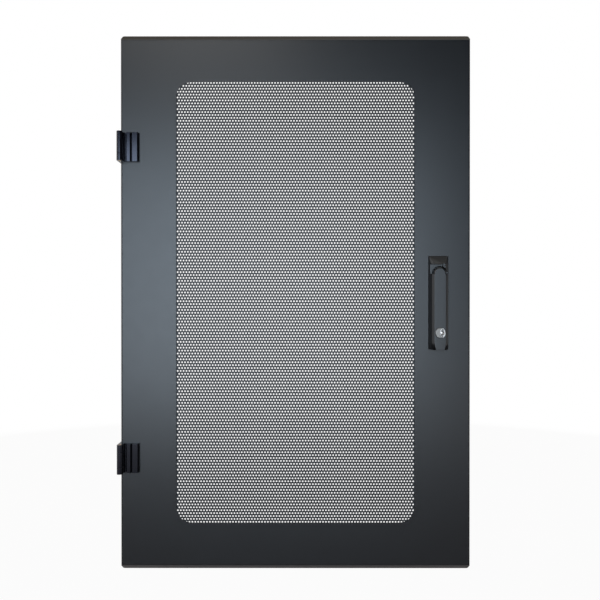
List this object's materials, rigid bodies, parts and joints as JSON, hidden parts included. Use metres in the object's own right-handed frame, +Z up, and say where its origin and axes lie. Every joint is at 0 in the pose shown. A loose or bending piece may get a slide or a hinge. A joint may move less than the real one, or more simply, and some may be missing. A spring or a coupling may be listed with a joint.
{
  "type": "perforated rack door",
  "caption": "Steel rack cabinet door with a large perforated panel in a folded frame, side hinges and a lift-and-turn handle with a key lock.",
  "frame": {"origin": "middle of the lower frame leaf's screw line, on the leaf face that is screwed to the cabinet", "axes": "+X from the hinge side to the lock side, -Y out of the door's front, +Z up"},
  "size_m": [0.6031, 0.0746, 0.927],
  "materials": {
    "black_powder_coat": "satin black powder coat",
    "perforated_steel": "satin black powder coat on perforated sheet",
    "black_casting": "semi-gloss black coated casting",
    "black_handle_casting": "satin black coated casting",
    "zinc_plated_steel": "zinc plated",
    "lock_chrome": "polished chrome plate",
    "black_rubber": "matt moulded rubber",
    "black_nylon": "matt moulded nylon"
  },
  "bodies": {
    "cabinet_leaves": {"upper_frame_leaf": "black_casting", "lower_frame_leaf": "black_casting", "upper_hinge_pin": "zinc_plated_steel", "lower_hinge_pin": "zinc_plated_steel"},
    "door": {"door_frame": "black_powder_coat", "perforated_sheet": "perforated_steel", "hinge_side_stiffener": "black_powder_coat", "upper_lock_side_stiffener": "black_powder_coat", "lower_lock_side_stiffener": "black_powder_coat", "upper_door_leaf": "black_casting", "lower_door_leaf": "black_casting", "upper_hinge_clamp": "zinc_plated_steel", "lower_hinge_clamp": "zinc_plated_steel", "hinge_screws": "zinc_plated_steel", "handle_housing": "black_handle_casting", "handle_gasket": "black_rubber", "handle_clamp": "zinc_plated_steel", "handle_screws": "zinc_plated_steel", "spindle_bush": "black_nylon", "earth_stud": "zinc_plated_steel", "earth_nut": "zinc_plated_steel", "rubber_buffers": "black_rubber"},
    "spindle": {"handle_spindle": "zinc_plated_steel", "latch_cam": "zinc_plated_steel", "cam_washer": "zinc_plated_steel", "cam_screw": "zinc_plated_steel"},
    "lever": {"handle_lever": "black_handle_casting", "lever_pin": "zinc_plated_steel", "lock_cylinder": "lock_chrome"},
    "lock_plug": {"lock_plug": "lock_chrome", "lock_tail": "zinc_plated_steel"}
  },
  "joints": [
    {"name": "door_swing", "type": "hinge", "parent": "cabinet_leaves", "child": "door", "pos_m": [0.0023, -0.055, 0.266], "axis": [0, 0, -1], "range_deg": [0, 180]},
    {"name": "handle_turn", "type": "hinge", "parent": "door", "child": "spindle", "pos_m": [0.5453, -0.04, 0.316], "axis": [0, 1, 0], "range_deg": [0, 90]},
    {"name": "lever_lift", "type": "hinge", "parent": "spindle", "child": "lever", "pos_m": [0.5453, -0.0528, 0.316], "axis": [-1, 0, 0], "range_deg": [0, 35]},
    {"name": "key_turn", "type": "hinge", "parent": "lever", "child": "lock_plug", "pos_m": [0.5483, -0.06, 0.215], "axis": [0, 1, 0], "range_deg": [0, 90]}
  ]
}
